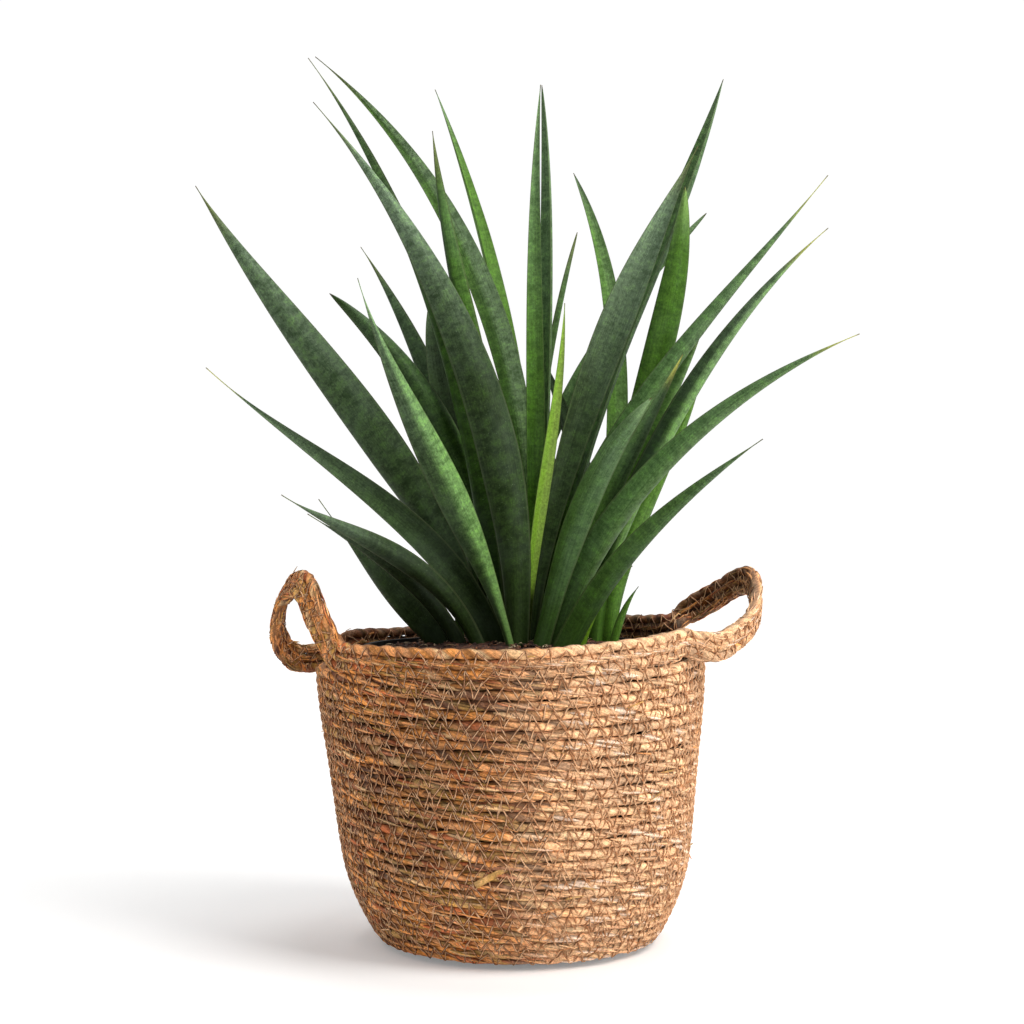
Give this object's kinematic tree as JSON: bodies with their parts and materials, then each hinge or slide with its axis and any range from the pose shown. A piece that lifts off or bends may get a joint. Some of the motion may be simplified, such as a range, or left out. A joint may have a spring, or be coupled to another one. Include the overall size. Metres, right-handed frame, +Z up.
{
  "type": "potted star sansevieria in a seagrass basket",
  "caption": "Clump of long pointed channelled leaves in a soil-filled nursery pot, standing in a round coiled seagrass basket with loop handles.",
  "frame": {"origin": "middle of the basket's flat underside", "axes": "+Z up along the leaves, -Y towards the viewer, handles at -X and +X"},
  "size_m": [0.399, 0.2805, 0.562],
  "materials": {
    "seagrass": "dry twisted seagrass cord, matt",
    "pot_plastic": "thin moulded nursery pot",
    "soil": "loose dark potting soil",
    "leaf": "tough waxy leaf, satin"
  },
  "bodies": {
    "root": {"basket_base": "seagrass", "basket_wall": "seagrass", "rim_band_front": "seagrass", "rim_band_back": "seagrass", "handle_left": "seagrass", "handle_right": "seagrass", "nursery_pot": "pot_plastic", "soil": "soil", "leaf_left_1": "leaf", "leaf_left_2": "leaf", "leaf_left_3": "leaf", "leaf_left_4": "leaf", "leaf_left_5": "leaf", "leaf_left_6": "leaf", "leaf_left_7": "leaf", "leaf_front_1": "leaf", "leaf_front_2": "leaf", "leaf_mid_1": "leaf", "leaf_mid_2": "leaf", "leaf_mid_3": "leaf", "leaf_mid_4": "leaf", "leaf_mid_5": "leaf", "leaf_mid_6": "leaf", "leaf_mid_7": "leaf", "leaf_mid_8": "leaf", "leaf_mid_9": "leaf", "leaf_young_1": "leaf", "leaf_right_1": "leaf", "leaf_right_2": "leaf", "leaf_right_3": "leaf", "leaf_right_4": "leaf", "leaf_right_5": "leaf", "leaf_right_6": "leaf", "leaf_right_7": "leaf", "leaf_right_8": "leaf", "leaf_right_9": "leaf", "leaf_right_10": "leaf", "leaf_right_11": "leaf", "leaf_right_12": "leaf", "leaf_right_13": "leaf", "leaf_right_14": "leaf", "leaf_right_15": "leaf", "leaf_back_1": "leaf", "leaf_back_2": "leaf", "leaf_back_3": "leaf", "leaf_back_4": "leaf"}
  },
  "joints": []
}
